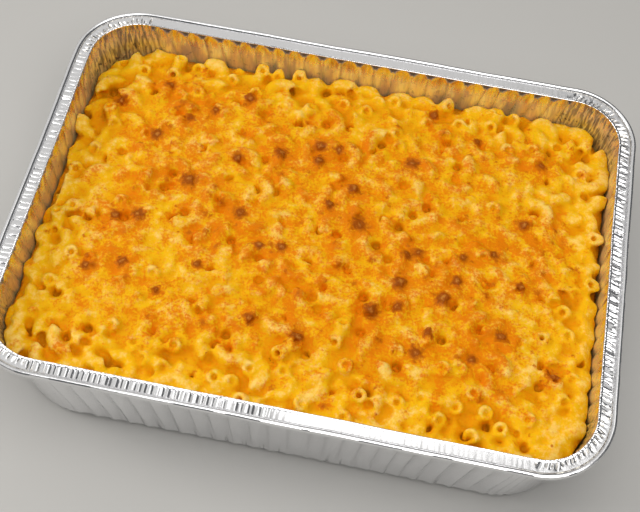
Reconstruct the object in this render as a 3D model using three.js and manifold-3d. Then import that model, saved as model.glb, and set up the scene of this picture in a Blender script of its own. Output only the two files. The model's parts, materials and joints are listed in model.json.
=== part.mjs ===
// Baked macaroni and cheese in a pressed aluminium foil tray.
//
// Millimetres, +Z up. The origin is the middle of the tray's base, +X runs along the tray's long side
// and +Y towards its back. The tray is one thin shell: a fluted wall with pleated corners, a flat flange
// and a rolled edge. The food is one solid: a bed of cheese sauce with the elbow macaroni that shows
// fused into its top, each with open ends where they stand clear of the sauce.

import * as THREE from "three";
import { mergeVertices } from "three/addons/utils/BufferGeometryUtils.js";
import Module from "manifold-3d";

const wasm = await Module();
wasm.setup();

// Driving dimensions of the tray
const trayLength = 332;
const trayWidth = 245;
const trayHeight = 70;
const rimCornerRadius = 38;
const foil = 0.6; // thickness of the shell
const beadRadius = 2; // rolled edge
const flangeWidth = 8.2; // from the outer edge of the roll to the wall
const flangeDrop = 1.2; // the flange lies this far below the top of the roll
const wallTaper = 2.8; // how far the wall leans in between the flange and the base
const baseCornerRadius = 44;
const baseFillet = 7; // where the wall turns into the base
const flutePitch = 11;
const fluteDepth = 1.2;
const fluteRunOut = 5; // the flutes fade out over this height below the flange
const pleatPitch = 5.8; // the finer folds round a corner
const pleatDepth = 0.8;
const rimCornerSteps = 8; // facets of the rolled edge round a corner

// Driving dimensions of the food
const fit = 0.5; // room between the food and the tray
const bedEdge = 46.5; // height of the sauce at the wall
const bedDome = 5; // how much higher it is in the middle
const bedRipple = 1.1; // unevenness of the sauce
const bedRings = 5; // rings of facets from the wall to the middle
const tubeRadius = 3.9; // one elbow of macaroni
const boreRadius = 2;
const boreDepth = 3;
const bendRadius = 8;
const tubeSides = 6;
const tubeSteps = 3;
const elbowCount = 86;
const randomSeed = 19;

// Values worked out from them
const flangeTop = trayHeight - flangeDrop;
const wallTopRadius = rimCornerRadius - flangeWidth;
const wallBottomInset = flangeWidth + wallTaper;

// ---------------------------------------------------------------- solids and meshes

/** The manifold-3d solid of a closed geometry. */
function solidOf(geometry) {
  const plain = geometry.clone();
  plain.deleteAttribute("normal");
  plain.deleteAttribute("uv");
  const merged = mergeVertices(plain, 1e-4);
  return new wasm.Manifold(
    new wasm.Mesh({
      numProp: 3,
      vertProperties: new Float32Array(merged.attributes.position.array),
      triVerts: new Uint32Array(merged.index.array),
    }),
  );
}

/** A three.js geometry of a manifold-3d solid. */
function geometryOf(solid) {
  const { vertProperties, triVerts } = solid.getMesh();
  const geometry = new THREE.BufferGeometry();
  geometry.setAttribute("position", new THREE.BufferAttribute(vertProperties, 3));
  geometry.setIndex(new THREE.BufferAttribute(triVerts, 1));
  geometry.computeVertexNormals();
  return geometry;
}

/** The largest piece of a solid: sealed hollows are filled and loose scraps are dropped. */
function wholePiece(solid) {
  const bySize = solid.decompose().sort((a, b) => b.volume() - a.volume());
  return bySize[0];
}

/** Quads between rings of equal length. A closed skin joins its last ring to its first. */
function skin(rings, closed) {
  const count = rings[0].length;
  const faces = [];
  const bands = closed ? rings.length : rings.length - 1;
  for (let band = 0; band < bands; band++) {
    const lower = band * count;
    const upper = ((band + 1) % rings.length) * count;
    for (let i = 0; i < count; i++) {
      const j = (i + 1) % count;
      faces.push(lower + i, lower + j, upper + j, lower + i, upper + j, upper + i);
    }
  }
  if (!closed) {
    const last = (rings.length - 1) * count;
    for (let i = 1; i < count - 1; i++) {
      faces.push(0, i + 1, i, last, last + i, last + i + 1);
    }
  }
  const geometry = new THREE.BufferGeometry().setFromPoints(rings.flat());
  geometry.setIndex(faces);
  return geometry;
}

// ---------------------------------------------------------------- the rounded rectangle

/**
 * Places round the tray, anticlockwise. Each has a corner weight (alongX, alongY) from -1 to 1, the
 * outward angle there, and how deep a fold it sits in: 0 on the outside, the fold's depth on a ridge.
 */
function stations(longSteps, shortSteps, cornerSteps, sideDepth, cornerDepth) {
  const corners = [
    [1, -1],
    [1, 1],
    [-1, 1],
    [-1, -1],
  ];
  const made = [];
  corners.forEach(([alongX, alongY], corner) => {
    const startAngle = (corner - 1) * (Math.PI / 2);
    const [nextX, nextY] = corners[(corner + 1) % 4];
    const sideSteps = corner % 2 === 0 ? shortSteps : longSteps;
    for (let i = 0; i < cornerSteps; i++) {
      const angle = startAngle + (i / cornerSteps) * (Math.PI / 2);
      made.push({ alongX, alongY, angle, fold: i % 2 ? 0 : cornerDepth });
    }
    for (let i = 0; i < sideSteps; i++) {
      made.push({
        alongX: THREE.MathUtils.lerp(alongX, nextX, i / sideSteps),
        alongY: THREE.MathUtils.lerp(alongY, nextY, i / sideSteps),
        angle: startAngle + Math.PI / 2,
        fold: i % 2 ? 0 : sideDepth,
      });
    }
  });
  return made;
}

/** The ring of points at one height, inset from the tray's outer edge. */
function ringAt(places, { z, inset, radius, foldShare = 0 }) {
  const reachX = trayLength / 2 - inset - radius;
  const reachY = trayWidth / 2 - inset - radius;
  return places.map(({ alongX, alongY, angle, fold }) => {
    const reach = radius - fold * foldShare;
    return new THREE.Vector3(
      alongX * reachX + reach * Math.cos(angle),
      alongY * reachY + reach * Math.sin(angle),
      z,
    );
  });
}

/** Inset and corner radius of the wall's outside at a height above the fillet. */
function wallAt(z) {
  const share = THREE.MathUtils.clamp((z - baseFillet) / (flangeTop - baseFillet), 0, 1);
  return {
    inset: THREE.MathUtils.lerp(wallBottomInset, flangeWidth, share),
    radius: THREE.MathUtils.lerp(baseCornerRadius, wallTopRadius, share),
  };
}

// ---------------------------------------------------------------- the tray

function flutedShell() {
  const longSide = trayLength - 2 * (flangeWidth + wallTopRadius);
  const shortSide = trayWidth - 2 * (flangeWidth + wallTopRadius);
  const cornerArc = (wallTopRadius * Math.PI) / 2;
  const places = stations(
    2 * Math.round(longSide / flutePitch),
    2 * Math.round(shortSide / flutePitch),
    2 * Math.round(cornerArc / pleatPitch),
    fluteDepth,
    pleatDepth,
  );
  const foot = wallAt(baseFillet);
  const top = wallAt(flangeTop);
  const fluteTop = flangeTop - fluteRunOut;
  const base = { inset: foot.inset + baseFillet, radius: foot.radius - baseFillet };
  const inside = ({ inset, radius }) => ({ inset: inset + foil, radius: radius - foil });
  return solidOf(
    skin(
      [
        ringAt(places, { z: 0, ...base }),
        ringAt(places, { z: baseFillet, ...foot, foldShare: 1 }),
        ringAt(places, { z: fluteTop, ...wallAt(fluteTop), foldShare: 1 }),
        ringAt(places, { z: flangeTop, ...top }),
        ringAt(places, { z: flangeTop, ...inside(top) }),
        ringAt(places, { z: fluteTop, ...inside(wallAt(fluteTop)), foldShare: 1 }),
        ringAt(places, { z: baseFillet, ...inside(foot), foldShare: 1 }),
        ringAt(places, { z: foil, ...base }),
      ],
      false,
    ),
  );
}

/** The flange and the rolled edge, swept round the rim. */
function rim() {
  const flangeUnder = flangeTop - foil;
  const beadCentre = trayHeight - beadRadius;
  const beadSteps = 7;
  const firstAngle = Math.asin((flangeTop - beadCentre) / beadRadius);
  const lastAngle = 2 * Math.PI + Math.asin((flangeUnder - beadCentre) / beadRadius);
  const profile = [{ inset: flangeWidth + foil / 2, z: flangeTop }];
  for (let i = 0; i <= beadSteps; i++) {
    const angle = THREE.MathUtils.lerp(firstAngle, lastAngle, i / beadSteps);
    profile.push({
      inset: beadRadius + beadRadius * Math.cos(angle),
      z: beadCentre + beadRadius * Math.sin(angle),
    });
  }
  profile.push({ inset: flangeWidth + foil / 2, z: flangeUnder });
  const places = stations(1, 1, rimCornerSteps, 0, 0);
  const rings = profile.map(({ inset, z }) =>
    ringAt(places, { z, inset, radius: rimCornerRadius - inset }),
  );
  return solidOf(skin(rings.reverse(), true));
}

const tray = wholePiece(flutedShell().add(rim()));

// ---------------------------------------------------------------- the food

/** A repeatable random number from 0 to 1. */
let randomState = randomSeed;
function random() {
  randomState = (randomState * 1664525 + 1013904223) % 4294967296;
  return randomState / 4294967296;
}
const between = (low, high) => THREE.MathUtils.lerp(low, high, random());

/** Inset and corner radius of the food's side at a height, clear of the wall's ridges. */
function foodSideAt(z) {
  const wall = wallAt(z);
  const clear = foil + fluteDepth + fit;
  return { inset: wall.inset + clear, radius: wall.radius - clear };
}

/** How near the rim a point is: 0 in the middle of the bed, 1 at its side. */
function edgeShare(x, y) {
  const side = foodSideAt(bedEdge);
  const shareX = Math.abs(x) / (trayLength / 2 - side.inset);
  const shareY = Math.abs(y) / (trayWidth / 2 - side.inset);
  return Math.min(1, (shareX ** 4 + shareY ** 4) ** (1 / 4));
}

/** Height of the sauce before its ripple. */
const bedHeight = (x, y) => bedEdge + bedDome * (1 - edgeShare(x, y) ** 3);

/** The bed of sauce: it fills the tray and its top is domed and uneven. */
function sauceBed() {
  const places = stations(8, 6, 5, 0, 0);
  const side = foodSideAt(bedEdge);
  const rings = [
    ringAt(places, {
      z: foil + fit,
      inset: wallBottomInset + baseFillet + fit,
      radius: baseCornerRadius - baseFillet - fit,
    }),
    ringAt(places, { z: baseFillet + fit, ...foodSideAt(baseFillet) }),
    ringAt(places, { z: bedEdge, ...side }).map((point) =>
      point.setZ(bedEdge + between(-bedRipple, bedRipple)),
    ),
  ];
  for (let ring = 1; ring < bedRings; ring++) {
    const share = 1 - ring / bedRings;
    rings.push(
      rings[2].map(({ x, y }) => {
        const z = bedHeight(x * share, y * share) + between(-bedRipple, bedRipple);
        return new THREE.Vector3(x * share, y * share, z);
      }),
    );
  }
  return solidOf(skin(rings, false));
}

/** The centre line of an elbow: an arc in the XY plane about the origin, its middle on +X. */
class Bend extends THREE.Curve {
  constructor(sweep) {
    super();
    this.sweep = sweep;
  }
  getPoint(t, target = new THREE.Vector3()) {
    const angle = (t - 0.5) * this.sweep;
    return target.set(bendRadius * Math.cos(angle), bendRadius * Math.sin(angle), 0);
  }
}

function polygon(radius, sides) {
  const corners = Array.from({ length: sides }, (_, i) => {
    const angle = ((i + 0.5) / sides) * 2 * Math.PI;
    return new THREE.Vector2(radius * Math.cos(angle), radius * Math.sin(angle));
  });
  return new THREE.Shape(corners);
}

/** The pose of an elbow at x, y: yaw turns it about the vertical and roll about its chord. */
function poseAt(x, y, { yaw, roll, stand, bend }) {
  const turn = new THREE.Matrix4()
    .makeRotationZ(yaw)
    .multiply(new THREE.Matrix4().makeRotationY(-roll));
  const highest = Math.max(...bend.getPoints(tubeSteps).map((p) => p.applyMatrix4(turn).z));
  const z = bedHeight(x, y) + stand - tubeRadius - highest;
  return new THREE.Matrix4().makeTranslation(x, y, z).multiply(turn);
}

/** True where a tube round this point is clear of the tray. */
function clearOfWall({ x, y, z }) {
  const { inset, radius } = foodSideAt(z);
  const overX = Math.max(0, Math.abs(x) - (trayLength / 2 - inset - radius));
  const overY = Math.max(0, Math.abs(y) - (trayWidth / 2 - inset - radius));
  return Math.hypot(overX, overY) < radius - tubeRadius - fit;
}

/** The centre line of a placed elbow. */
const lineOf = ({ bend, pose }, steps) =>
  bend.getPoints(steps).map((point) => point.applyMatrix4(pose));

/** Moves an elbow towards the middle until all of it is clear of the tray. */
function settle(x, y, elbow) {
  let share = 1;
  let pose = poseAt(x, y, elbow);
  while (!lineOf({ bend: elbow.bend, pose }, tubeSteps).every(clearOfWall)) {
    share -= 0.015;
    pose = poseAt(x * share, y * share, elbow);
  }
  return { bend: elbow.bend, pose };
}

/** The emptiest of many random places over the bed. */
function emptiestPlace(taken) {
  const placesTried = 80;
  const side = foodSideAt(bedEdge);
  let best = { gap: -1 };
  for (let i = 0; i < placesTried; i++) {
    const x = between(-1, 1) * (trayLength / 2 - side.inset - tubeRadius);
    const y = between(-1, 1) * (trayWidth / 2 - side.inset - tubeRadius);
    const gap = Math.min(Infinity, ...taken.map((other) => Math.hypot(other.x - x, other.y - y)));
    if (gap > best.gap) best = { x, y, gap };
  }
  return best;
}

/** Elbows spread evenly over the bed: most lie on their side and the rest stand up in it. */
function scatterElbows() {
  const taken = [];
  const elbows = [];
  while (elbows.length < elbowCount) {
    const place = emptiestPlace(taken);
    taken.push(place);
    const lying = random() < 0.8;
    elbows.push(
      settle(place.x, place.y, {
        yaw: between(0, 2 * Math.PI),
        roll: lying ? between(-0.45, 0.3) : between(-1.35, -0.9),
        stand: between(5.4, 7.4),
        bend: new Bend(between(2.3, 3.1)),
      }),
    );
  }
  return elbows;
}

/** A short hole into the end of an elbow whose mouth and outward direction are given. */
function boreAt({ mouth, outwards }) {
  const hole = new THREE.CylinderGeometry(boreRadius, boreRadius, 2 * boreDepth, 5);
  const along = new THREE.Quaternion().setFromUnitVectors(new THREE.Vector3(0, 1, 0), outwards);
  return solidOf(hole.applyQuaternion(along).translate(mouth.x, mouth.y, mouth.z));
}

/** The two ends of a placed elbow, each looking along its last facets. */
function endsOf(elbow) {
  const line = lineOf(elbow, tubeSteps);
  const endOf = ([mouth, next]) => ({ mouth, outwards: mouth.clone().sub(next).normalize() });
  return [endOf(line), endOf(line.reverse())];
}

/** True where an end stands out of the sauce, faces upwards and is clear of every other elbow. */
function endShows({ mouth, outwards }, others) {
  const clearance = tubeRadius + boreRadius;
  const high = mouth.z > bedHeight(mouth.x, mouth.y) + boreRadius;
  const clear = others.every((line) => line.every((p) => p.distanceTo(mouth) > clearance));
  return high && outwards.z > 0.25 && clear;
}

/** Every elbow as one solid, and the holes of the ends that show as another. */
function macaroni() {
  const tube = polygon(tubeRadius, tubeSides);
  const elbows = scatterElbows();
  const lines = elbows.map((elbow) => lineOf(elbow, 2 * tubeSteps));
  const tubes = [];
  const bores = [];
  elbows.forEach((elbow, index) => {
    const geometry = new THREE.ExtrudeGeometry(tube, {
      steps: tubeSteps,
      extrudePath: elbow.bend,
    });
    tubes.push(solidOf(geometry.applyMatrix4(elbow.pose)));
    const others = lines.filter((line, i) => i !== index);
    bores.push(...endsOf(elbow).filter((end) => endShows(end, others)).map(boreAt));
  });
  const { Manifold } = wasm;
  return { tubes: Manifold.union(tubes), bores: Manifold.union(bores) };
}

const { tubes, bores } = macaroni();
const food = wholePiece(sauceBed().add(tubes).subtract(bores));

// ---------------------------------------------------------------- the part

const foilMetal = new THREE.MeshStandardMaterial({
  color: 0xd6d7d8,
  metalness: 1,
  roughness: 0.3,
});
const bakedCheese = new THREE.MeshStandardMaterial({
  color: 0xe6a02a,
  metalness: 0,
  roughness: 0.45,
});

function namedMesh(name, solid, material) {
  const mesh = new THREE.Mesh(geometryOf(solid), material);
  mesh.name = name;
  return mesh;
}

const macAndCheese = new THREE.Group();
macAndCheese.add(namedMesh("foil_tray", tray, foilMetal));
macAndCheese.add(namedMesh("macaroni_and_cheese", food, bakedCheese));

export default macAndCheese;
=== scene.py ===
import json
import math
from contextlib import contextmanager

import bpy
import numpy as np
from mathutils import Euler, Matrix, Vector, noise
from mathutils.bvhtree import BVHTree
from mathutils.kdtree import KDTree

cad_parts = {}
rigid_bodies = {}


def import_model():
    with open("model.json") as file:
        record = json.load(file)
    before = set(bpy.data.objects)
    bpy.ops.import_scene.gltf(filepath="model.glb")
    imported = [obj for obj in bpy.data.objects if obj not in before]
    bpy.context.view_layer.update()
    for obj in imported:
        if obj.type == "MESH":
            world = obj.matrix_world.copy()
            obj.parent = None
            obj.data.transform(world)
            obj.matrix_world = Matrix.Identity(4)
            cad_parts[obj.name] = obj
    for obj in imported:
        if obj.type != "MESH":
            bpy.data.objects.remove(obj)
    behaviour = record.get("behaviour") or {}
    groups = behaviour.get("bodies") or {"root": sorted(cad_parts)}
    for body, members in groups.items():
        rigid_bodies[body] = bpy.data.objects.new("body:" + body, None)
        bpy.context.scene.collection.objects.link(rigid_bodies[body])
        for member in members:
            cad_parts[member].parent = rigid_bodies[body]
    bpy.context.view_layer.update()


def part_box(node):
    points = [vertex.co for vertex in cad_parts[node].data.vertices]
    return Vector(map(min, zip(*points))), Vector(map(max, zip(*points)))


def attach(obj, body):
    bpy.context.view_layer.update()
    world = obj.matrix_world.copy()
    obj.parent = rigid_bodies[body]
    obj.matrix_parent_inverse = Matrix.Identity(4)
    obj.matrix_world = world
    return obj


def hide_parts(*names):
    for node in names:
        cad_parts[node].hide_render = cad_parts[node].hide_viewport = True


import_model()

# ------------ the view
# The camera stands in front of the tray and a little to its right, and looks down on it as someone
# does who is about to serve. It comes first, because the places of a few pieces are given by where
# they are seen from there.
MM = 0.001
VIEW_WIDTH, VIEW_HEIGHT = 640, 512
CAMERA_PLACE = (45.5 * MM, -358.4 * MM, 637.1 * MM)
CAMERA_TURN = (32.985, -2.303, 11.095)
CAMERA_LENS = 69.72
CAMERA_SHIFT = -0.078


def added(add, **settings):
    """The object that an add tool makes, with nothing else selected."""
    bpy.ops.object.select_all(action="DESELECT")
    add(**settings)
    return bpy.context.object


camera_turn = [math.radians(turn) for turn in CAMERA_TURN]
camera = added(bpy.ops.object.camera_add, location=CAMERA_PLACE, rotation=camera_turn)
camera.name = "view_from_the_front"
camera.data.lens = CAMERA_LENS
camera.data.shift_y = CAMERA_SHIFT
camera.data.clip_start = 10 * MM
bpy.context.scene.camera = camera
bpy.context.view_layer.update()


def sight_line(across, down):
    """The direction in which the camera sees a point of its 640 by 512 view."""
    focal = camera.data.lens / camera.data.sensor_width * VIEW_WIDTH
    right = (across - VIEW_WIDTH / 2) / focal
    up = (VIEW_HEIGHT / 2 - down + CAMERA_SHIFT * VIEW_WIDTH) / focal
    return (camera.matrix_world.to_3x3() @ Vector((right, up, -1))).normalized()


def seen_at_height(across, down, height):
    """The x and y of the point at this height that the camera sees there."""
    start = camera.matrix_world.translation
    line = sight_line(across, down)
    point = start + line * ((height - start.z) / line.z)
    return point.x, point.y


# ------------ the foil tray
# A disposable tray pressed from one sheet of soft aluminium foil. Its wall is fluted for stiffness
# and gathered into pleats round the corners, its flange is crimped, and its edge is rolled over.
# The sheet starts as a grid, is wrapped round the tray's rim and is then given its thickness.
tray_low, tray_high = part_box("foil_tray")
RIM_CORNER = 38 * MM
FLANGE_WIDTH = 8.2 * MM
FLANGE_DROP = 1.2 * MM
LIP_HEIGHT = 0.5 * MM
LIP_WIDTH = 1.4 * MM
ROLL_WIDTH = 2.8 * MM
ROLL_HEIGHT = 4 * MM
WALL_TAPER = 2.8 * MM
BASE_CORNER = 44 * MM
BASE_FILLET = 7 * MM
FOIL = 0.22 * MM
FLUTE_PITCH = 10.6 * MM
FLUTE_DEPTH = 1.4 * MM
FLUTE_WIDTHS_VARY = (0.85, 1.15)
FLUTE_STEPS = 19
OFF_CREST_IN_CORNERS = 0.97
LOBE_FULLNESS = 0.6
ARCH_TOP = 0.7 * MM
ARCH_HEIGHT = 4.5 * MM
ARCH_NARROWS = 0.86
PLEAT_PITCH = 3.4 * MM
PLEAT_DEPTH = 1.05 * MM
PLEAT_DEPTHS_VARY = (0.25, 1.2)
PLEAT_STEPS = 6
CRIMP_PITCH = 2.9 * MM
CRIMP_WIDTH = 1.7 * MM
CRIMP_DEPTH = 1.25 * MM
CRIMP_SLANT = 3
CRIMP_DEPTHS_VARY = (0.45, 1)
CRIMP_REACHES_VARY = (0.7, 1.3)
CRIMPS_AT_BACK = 0.05
CRIMPS_AT_LEFT = 0.5
CRIMPS_AT_FRONT = 0.06
TOOTH_DEPTH = 0.2 * MM
DENT_SCALES = (28, 75)
DENT_DEPTH = 0.4 * MM
MOST_FACES_OF_SHEET = 96000

half_length = (tray_high.x - tray_low.x) / 2
half_width = (tray_high.y - tray_low.y) / 2
rim_top = tray_high.z
flange_level = rim_top - FLANGE_DROP
wall_corner = RIM_CORNER - FLANGE_WIDTH


def points_of(piece, value="co"):
    """The place of each vertex of a piece, or its "normal", as an array of x, y, z rows."""
    rows = np.empty(len(piece.data.vertices) * 3)
    piece.data.vertices.foreach_get(value, rows)
    return rows.reshape(-1, 3)


def move_points(piece, points):
    """Puts the vertices of a piece at these places."""
    piece.data.vertices.foreach_set("co", np.asarray(points, float).ravel())
    piece.data.update()


@contextmanager
def edit_mode():
    """Lets mesh tools work on the active piece, and then leaves it as an object again."""
    bpy.ops.object.mode_set(mode="EDIT")
    yield
    bpy.ops.object.mode_set(mode="OBJECT")


def apply_to(piece, name, kind, **settings):
    """Adds a modifier with these settings and applies it."""
    bpy.context.view_layer.objects.active = piece
    modifier = piece.modifiers.new(name, kind)
    for setting, value in settings.items():
        setattr(modifier, setting, value)
    bpy.ops.object.modifier_apply(modifier=modifier.name)


def smooth_share(low, high, value):
    """0 at low and 1 at high, with a smooth rise between them."""
    share = np.clip((value - low) / (high - low), 0, 1)
    return share * share * (3 - 2 * share)


def places_round_the_rim():
    """Arrays that describe each place round the rim, anticlockwise from the front right corner."""
    chance = np.random.default_rng(5)
    along_x, along_y, angle, flute, pleat = [], [], [], [], []
    corners = [(1, -1), (1, 1), (-1, 1), (-1, -1)]
    pleats = round(wall_corner * math.pi / 2 / PLEAT_PITCH)
    for corner, (x, y) in enumerate(corners):
        start = (corner - 1) * math.pi / 2
        next_x, next_y = corners[(corner + 1) % 4]
        steps = pleats * PLEAT_STEPS
        depths = chance.uniform(*PLEAT_DEPTHS_VARY, pleats + 1)
        for step in range(steps):
            share = step / PLEAT_STEPS
            fold = 1 - abs(share % 1 - 0.5) * 2
            along_x.append(x)
            along_y.append(y)
            angle.append(start + step / steps * math.pi / 2)
            flute.append(OFF_CREST_IN_CORNERS)
            pleat.append(fold * depths[int(share)])
        side = (half_length if corner % 2 else half_width) - RIM_CORNER
        flutes = round(2 * side / FLUTE_PITCH)
        widths = chance.uniform(*FLUTE_WIDTHS_VARY, flutes)
        edges = np.concatenate([[0], np.cumsum(widths) / widths.sum()])
        for number in range(flutes):
            for step in range(FLUTE_STEPS):
                share = edges[number] + (edges[number + 1] - edges[number]) * step / FLUTE_STEPS
                along_x.append(x + (next_x - x) * share)
                along_y.append(y + (next_y - y) * share)
                angle.append(start + math.pi / 2)
                flute.append(abs(2 * step / FLUTE_STEPS - 1))
                pleat.append(0)
    return [np.array(values) for values in (along_x, along_y, angle, flute, pleat)]


along_x, along_y, rim_angle, off_crest, pleat_ridge = places_round_the_rim()
place_count = len(rim_angle)
in_corner = np.minimum(np.abs(along_x), np.abs(along_y)) == 1


def rim_points(inset, corner):
    """Points round the tray this far in from its outer edge, with this corner radius."""
    x = along_x * (half_length - inset - corner) + corner * np.cos(rim_angle)
    y = along_y * (half_width - inset - corner) + corner * np.sin(rim_angle)
    return x, y


def wall_inset(height):
    """How far in the wall is at a height, and its corner radius there."""
    share = np.clip((height - BASE_FILLET) / (flange_level - BASE_FILLET), 0, 1)
    inset = FLANGE_WIDTH + FOIL + WALL_TAPER * (1 - share)
    corner = wall_corner + (BASE_CORNER - wall_corner) * (1 - share)
    return inset, corner


def press_crimps():
    """The depth of the crimp at each place round the rim, and how far out it reaches."""
    chance = np.random.default_rng(9)
    x, y = rim_points(FLANGE_WIDTH / 2, RIM_CORNER - FLANGE_WIDTH / 2)
    steps = np.hypot(np.roll(x, -1) - x, np.roll(y, -1) - y)
    travel = np.cumsum(steps) - steps
    count = round(steps.sum() / CRIMP_PITCH)
    middles = (np.arange(count) + chance.uniform(-0.2, 0.2, count)) * steps.sum() / count
    nearest = np.argmin(np.abs(travel[:, None] - middles[None]), axis=1)
    depth = np.clip(1 - np.abs(travel - middles[nearest]) / (CRIMP_WIDTH / 2), 0, 1)
    depth *= chance.uniform(*CRIMP_DEPTHS_VARY, count)[nearest]
    at_front = (y < -half_width * 0.85) & ~in_corner
    strength = np.full(place_count, CRIMPS_AT_BACK)
    strength[x < -half_length * 0.9] = CRIMPS_AT_LEFT
    strength[x > half_length * 0.9] = 1
    strength[at_front] = CRIMPS_AT_FRONT
    front_left = smooth_share(0.08, -0.15, x / half_length) * at_front
    strength = np.maximum(strength, front_left)
    strength[in_corner] = 1
    reach = chance.uniform(*CRIMP_REACHES_VARY, count)[nearest]
    reach[in_corner] *= 0.75
    reach[at_front] = CRIMP_REACHES_VARY[1]
    return depth * strength, reach


def lobe_swell(height):
    """How far the lobes between the grooves swell inward at a height: each ends in a round arch."""
    climbed = (height - (flange_level - ARCH_TOP - ARCH_HEIGHT)) / ARCH_HEIGHT
    half_span = math.sqrt(1 - (ARCH_NARROWS * min(max(climbed, 0), 1)) ** 2)
    return np.cos(np.minimum(off_crest / half_span, 1) * math.pi / 2) ** LOBE_FULLNESS


def wall_rows():
    """The rows of the sheet up the fillet and the wall: inset, corner radius and height of each."""
    foot_inset, foot_corner = wall_inset(BASE_FILLET)
    for turn in np.radians([0, 22, 45, 68]):
        inward = BASE_FILLET * (1 - math.sin(turn))
        height = FOIL + (BASE_FILLET - FOIL) * (1 - math.cos(turn))
        yield foot_inset + inward, foot_corner - inward, height
    arch_top = flange_level - ARCH_TOP
    for height in np.linspace(BASE_FILLET, arch_top - ARCH_HEIGHT, 5):
        yield *wall_inset(height), height
    for height in arch_top - ARCH_HEIGHT * np.array([0.7, 0.45, 0.25, 0.1, 0]):
        yield *wall_inset(height), height


def rim_rows():
    """The rows over the lip, across the flange and round the roll.

    Each gives its inset, its height, its share of the way across the flange, or None where the
    crimps don't reach, and the depth of its fine teeth.
    """
    edge = FLANGE_WIDTH + FOIL + FLUTE_DEPTH
    yield edge, flange_level - 0.5 * MM, None, 0
    yield edge - 0.05 * MM, flange_level + 0.4 * LIP_HEIGHT, None, 0
    yield edge - 0.3 * MM, flange_level + LIP_HEIGHT, None, TOOTH_DEPTH
    yield edge - 0.5 * LIP_WIDTH, flange_level + LIP_HEIGHT, None, TOOTH_DEPTH
    yield edge - LIP_WIDTH, flange_level + 0.15 * LIP_HEIGHT, None, 0
    flat_start, flat_end = edge - LIP_WIDTH - 0.1 * MM, ROLL_WIDTH + 0.6 * MM
    for share in (0, 0.06, 0.35, 0.6, 0.8, 0.94):
        yield flat_start + (flat_end - flat_start) * share, flange_level, share, 0
    yield flat_end, flange_level, None, 0
    yield ROLL_WIDTH + 0.15 * MM, flange_level - 0.7 * MM, None, 0
    radius = ROLL_WIDTH / 2
    for turn in (15, 45, 75, 105, 135, 165, 185, 210, 240, 270, 300, 330):
        middle = rim_top - radius if turn < 180 else rim_top - ROLL_HEIGHT + radius
        inset = radius + radius * math.cos(math.radians(turn))
        teeth = TOOTH_DEPTH if 150 < turn < 250 else 0.5 * TOOTH_DEPTH * (turn < 180)
        yield inset, middle + radius * math.sin(math.radians(turn)), None, teeth


def wrap_sheet():
    """The sheet's points, row by row round the rim, and those in the notches between the arches."""
    walls = list(wall_rows())
    rims = list(rim_rows())
    sheet = np.zeros((len(walls) + len(rims), place_count, 3))
    crimp, crimp_reach = press_crimps()
    tooth = np.arange(place_count) % 2
    on_right = along_x == 1
    for row, (inset, corner, height) in enumerate(walls):
        risen = smooth_share(0, BASE_FILLET, height)
        inward = (FLUTE_DEPTH * lobe_swell(height) + PLEAT_DEPTH * pleat_ridge) * risen
        x, y = rim_points(inset, corner)
        x -= inward * np.cos(rim_angle)
        y -= inward * np.sin(rim_angle)
        sheet[row] = np.stack([x, y, np.full(place_count, height)], axis=1)
    for row, (inset, height, share, teeth) in enumerate(rims, start=len(walls)):
        x, y = rim_points(inset, RIM_CORNER - inset)
        bite = teeth * tooth
        if share is not None:
            slanted = np.where(on_right, np.roll(crimp, -round(CRIMP_SLANT * share)), crimp)
            lift = -CRIMP_DEPTH * slanted * np.clip((crimp_reach - share) / 0.3, 0, 1)
        elif inset < ROLL_WIDTH:
            across = 2 * inset / ROLL_WIDTH - 1
            x += bite * across * np.cos(rim_angle)
            y += bite * across * np.sin(rim_angle)
            lift = -bite * math.sqrt(1 - across * across)
        else:
            lift = -bite - 0.4 * LIP_HEIGHT * crimp * (teeth > 0)
        sheet[row] = np.stack([x, y, height + lift], axis=1)
    notches = []
    for row, (_, _, height) in enumerate(walls + [(0, 0, flange_level)]):
        if height > flange_level - ARCH_TOP - 0.8 * ARCH_HEIGHT:
            notches.extend(sheet[row, ~in_corner & (lobe_swell(height) < 0.4)])
    return sheet, notches


def press_foil_tray(sheet):
    """A grid put at the sheet's points, joined where its ends meet and closed by the flat base."""
    counts = {"x_subdivisions": place_count, "y_subdivisions": len(sheet) - 1}
    tray = added(bpy.ops.mesh.primitive_grid_add, **counts)
    tray.name = "pressed_foil_tray"
    move_points(tray, np.concatenate([sheet, sheet[:, :1]], axis=1))
    with edit_mode():
        bpy.ops.mesh.select_all(action="SELECT")
        bpy.ops.mesh.remove_doubles(threshold=0.001 * MM)
        bpy.ops.mesh.select_all(action="DESELECT")
    base = points_of(tray)[:, 2] < FOIL + 0.001 * MM
    tray.data.vertices.foreach_set("select", base)
    with edit_mode():
        bpy.ops.mesh.select_mode(type="VERT")
        bpy.ops.mesh.edge_face_add()
        bpy.ops.mesh.select_all(action="SELECT")
        bpy.ops.mesh.normals_make_consistent()
    floor = max(tray.data.polygons, key=lambda face: len(face.vertices))
    if floor.normal.z < 0:
        with edit_mode():
            bpy.ops.mesh.flip_normals()
    return tray


def dent_foil(tray):
    """Soft dents, all of them inward or downward, as such a tray gets when it is carried."""
    points = points_of(tray)
    for index, (x, y, z) in enumerate(points):
        broad, fine = (noise.noise(Vector((x, y, z)) * scale) for scale in DENT_SCALES)
        dent = max(0.0, 0.25 + (broad + 0.5 * fine)) * DENT_DEPTH * min(1.0, z / (20 * MM))
        reach = math.hypot(x, y)
        if reach and z > FOIL * 2:
            points[index] -= np.array((x / reach, y / reach, 0.25)) * dent
    move_points(tray, points)


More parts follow.
